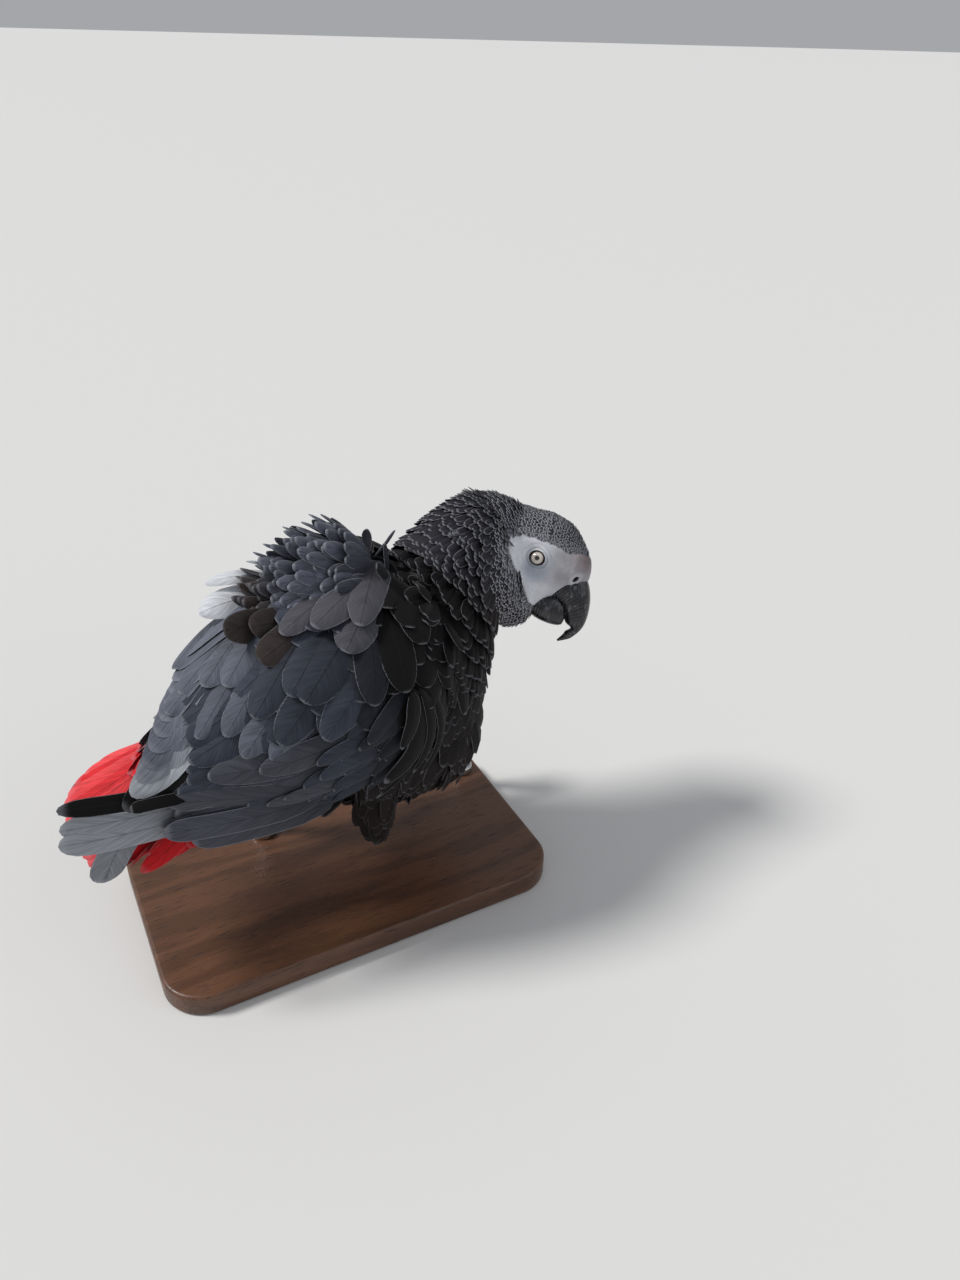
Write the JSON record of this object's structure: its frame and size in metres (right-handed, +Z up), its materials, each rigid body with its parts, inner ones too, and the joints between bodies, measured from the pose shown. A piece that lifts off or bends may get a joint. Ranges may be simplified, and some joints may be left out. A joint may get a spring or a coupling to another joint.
{
  "type": "grey parrot display model",
  "caption": "Still, life-size grey parrot with a red tail, feathers ruffled, gripping a cut length of round bar held by two rods on a flat wooden base.",
  "frame": {"origin": "middle of the stand base's underside", "axes": "+X the way the body faces, +Y the bird's left, +Z up"},
  "size_m": [0.302, 0.136, 0.232],
  "materials": {
    "plumage": "matt slate-grey feathers with paler edges",
    "face": "powdery pale grey bare skin with grey scalloped feathers round it",
    "bill": "near-black horn with a grey powdery bloom",
    "eye": "wet, pale straw iris round a black pupil",
    "tail_red": "scarlet feathers, paler along their shafts",
    "foot_skin": "dry grey scaled skin",
    "claw": "black horn",
    "bar": "dark grey paint, worn on top",
    "rod": "turned satin steel",
    "base_wood": "oiled walnut"
  },
  "bodies": {
    "root": {"trunk": "plumage", "neck": "plumage", "head": "face", "bill_upper": "bill", "bill_lower": "bill", "eye_right": "eye", "eye_left": "eye", "tail": "tail_red", "tail_under": "tail_red", "wing_right": "plumage", "wing_left": "plumage", "thigh_right": "plumage", "thigh_left": "plumage", "leg_right": "foot_skin", "leg_left": "foot_skin", "claw_right_1": "claw", "claw_right_2": "claw", "claw_right_3": "claw", "claw_right_4": "claw", "claw_left_1": "claw", "claw_left_2": "claw", "claw_left_3": "claw", "claw_left_4": "claw", "perch": "bar", "stand_rod_rear": "rod", "stand_rod_front": "rod", "stand_base": "base_wood"}
  },
  "joints": []
}
